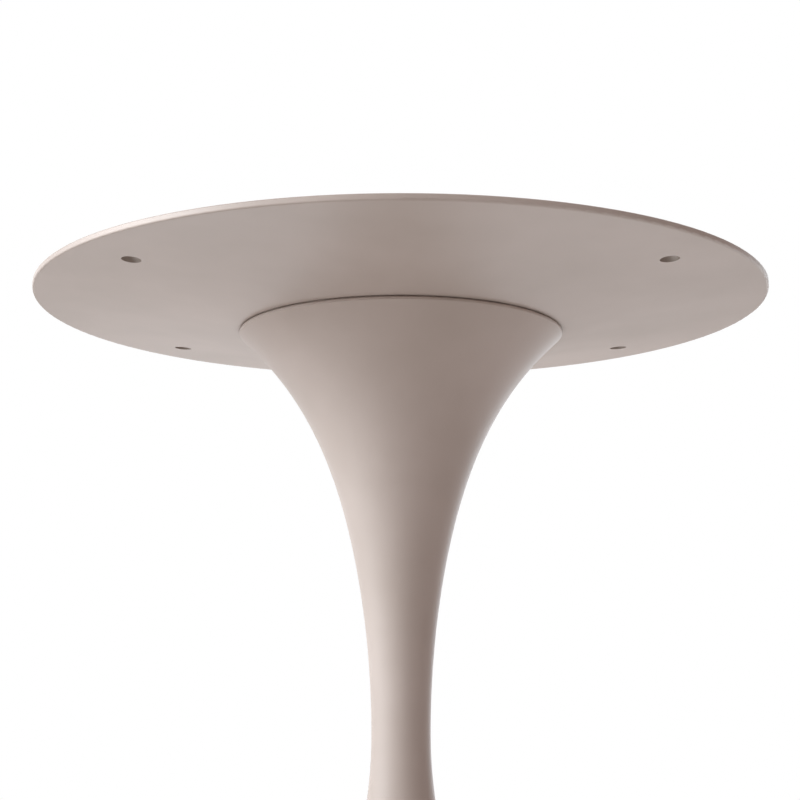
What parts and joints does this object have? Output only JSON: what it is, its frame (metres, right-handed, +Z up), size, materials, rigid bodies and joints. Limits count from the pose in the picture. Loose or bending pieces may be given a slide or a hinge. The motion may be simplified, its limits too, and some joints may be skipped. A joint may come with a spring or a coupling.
{
  "type": "pedestal table base",
  "caption": "Round pedestal table base: a dished mounting plate with screw holes on a trumpet-shaped cast stem and wide flared foot.",
  "frame": {"origin": "centre of the foot, on the floor", "axes": "+Z up along the stem; +X along the long side of the rectangle of holes in the plate"},
  "size_m": [0.6, 0.6, 0.71],
  "materials": {
    "coated_casting": "matte",
    "black_steel": "satin",
    "zinc_steel": "satin",
    "glide_nylon": "matte"
  },
  "bodies": {
    "root": {"glide_nut_1": "zinc_steel", "glide_nut_2": "zinc_steel", "glide_nut_3": "zinc_steel", "glide_nut_4": "zinc_steel", "glide_nut_5": "zinc_steel", "glide_nut_6": "zinc_steel", "glide_pad_1": "glide_nylon", "glide_pad_2": "glide_nylon", "glide_pad_3": "glide_nylon", "glide_pad_4": "glide_nylon", "glide_pad_5": "glide_nylon", "glide_pad_6": "glide_nylon", "glide_stud_1": "zinc_steel", "glide_stud_2": "zinc_steel", "glide_stud_3": "zinc_steel", "glide_stud_4": "zinc_steel", "glide_stud_5": "zinc_steel", "glide_stud_6": "zinc_steel", "mounting_plate": "coated_casting", "pedestal": "coated_casting", "plate_screw_1": "black_steel", "plate_screw_2": "black_steel", "plate_screw_3": "black_steel", "plate_screw_4": "black_steel", "plate_screw_5": "black_steel", "plate_screw_6": "black_steel", "plate_washer_1": "zinc_steel", "plate_washer_2": "zinc_steel", "plate_washer_3": "zinc_steel", "plate_washer_4": "zinc_steel", "plate_washer_5": "zinc_steel", "plate_washer_6": "zinc_steel"}
  },
  "joints": []
}
